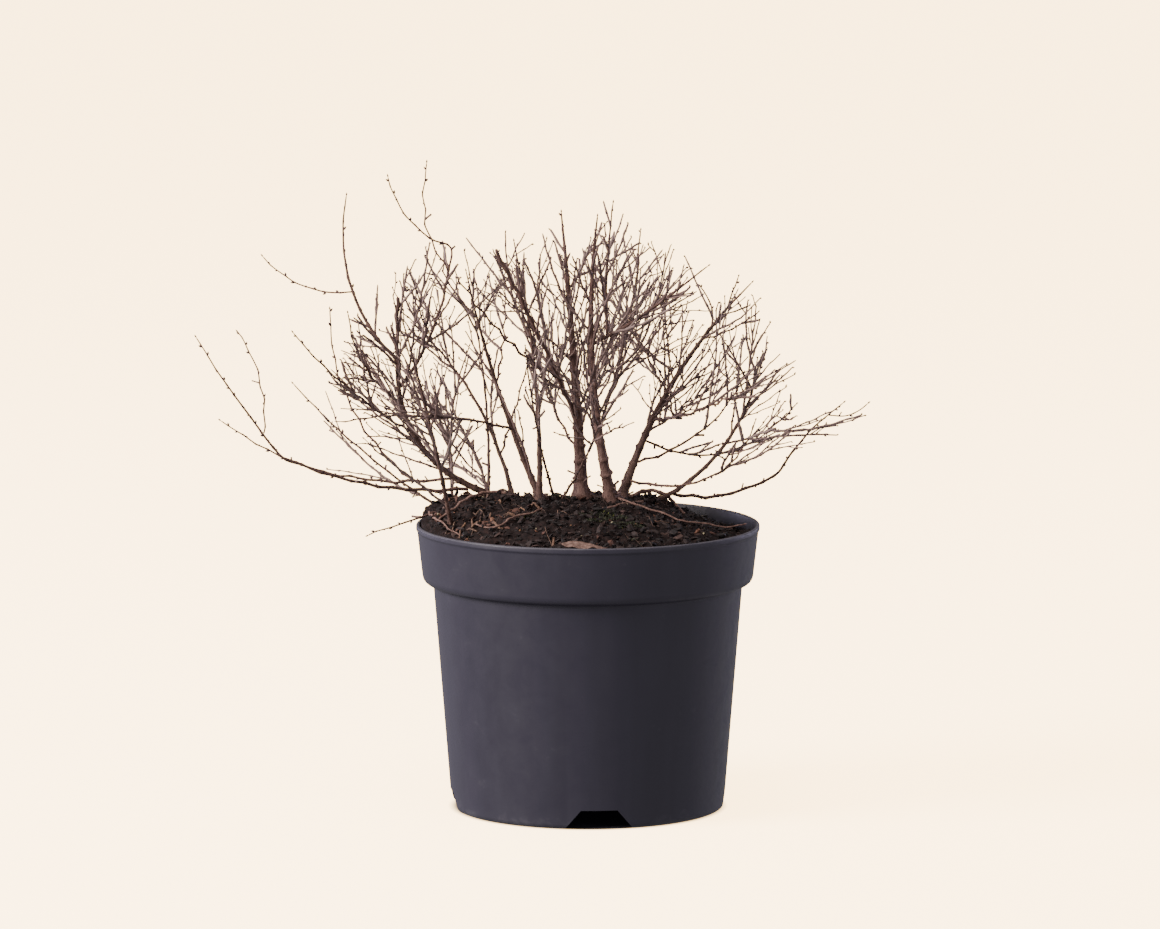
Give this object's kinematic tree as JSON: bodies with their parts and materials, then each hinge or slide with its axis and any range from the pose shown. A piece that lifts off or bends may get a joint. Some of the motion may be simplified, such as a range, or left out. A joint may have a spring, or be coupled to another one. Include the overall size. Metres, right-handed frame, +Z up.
{
  "type": "leafless spirea shrub in a nursery pot",
  "caption": "Leafless spirea shrub in winter: bare tapering stems and arching boughs rise from the mounded root ball of a round black plastic nursery pot with a rim band and drain notches.",
  "frame": {"origin": "centre of the pot's foot, on the surface that the pot stands on", "axes": "+Z up along the pot's axis, -Y towards the viewer of the front, +X to the right of the front, along the crown's widest spread"},
  "size_m": [0.4298, 0.2548, 0.4136],
  "materials": {
    "pot": "satin",
    "soil": "matte",
    "bark": "matte"
  },
  "bodies": {
    "root": {"pot": "pot", "root_ball": "soil", "trunk_middle": "bark", "trunk_right": "bark", "stem_right": "bark", "stem_left_inner": "bark", "stem_left_middle": "bark", "stem_left_outer": "bark", "stem_left_front": "bark", "stem_left_rear": "bark", "stem_left_rim": "bark", "stem_forked": "bark", "stem_upright": "bark", "stem_arched_rear": "bark", "stem_slender_front": "bark", "stem_crossing": "bark", "stem_right_arch": "bark", "bough_left_top": "bark", "bough_left_stub": "bark", "bough_left_out": "bark", "bough_left_low": "bark", "bough_left_mid": "bark", "bough_left_inward": "bark", "shoot_top_left": "bark", "shoot_top": "bark", "arch_low": "bark", "arch_low_tip": "bark", "arch_low_fork": "bark", "arch_high": "bark", "arch_upswept": "bark", "runner_left": "bark", "bough_forked_right": "bark", "bough_level_left": "bark", "bough_rear_left": "bark", "bough_middle_left": "bark", "bough_long_left": "bark", "bough_inner_left": "bark", "bough_low_left": "bark", "bough_middle_rear": "bark", "bough_middle_high": "bark", "bough_upright": "bark", "bough_right_long": "bark", "bough_centre": "bark", "bough_right_rear": "bark", "bough_right_inner": "bark", "bough_right_high": "bark", "bough_right_crest": "bark", "bough_right_outer": "bark", "bough_spread_front": "bark", "bough_spread_rear": "bark", "bough_curved": "bark", "bough_drooping": "bark", "bough_level_right": "bark", "arch_right_hook": "bark", "arch_right_claw": "bark", "arch_right_inner": "bark", "arch_right_outer": "bark", "spread_low": "bark", "spread_low_end": "bark", "spread_low_tip": "bark"}
  },
  "joints": []
}
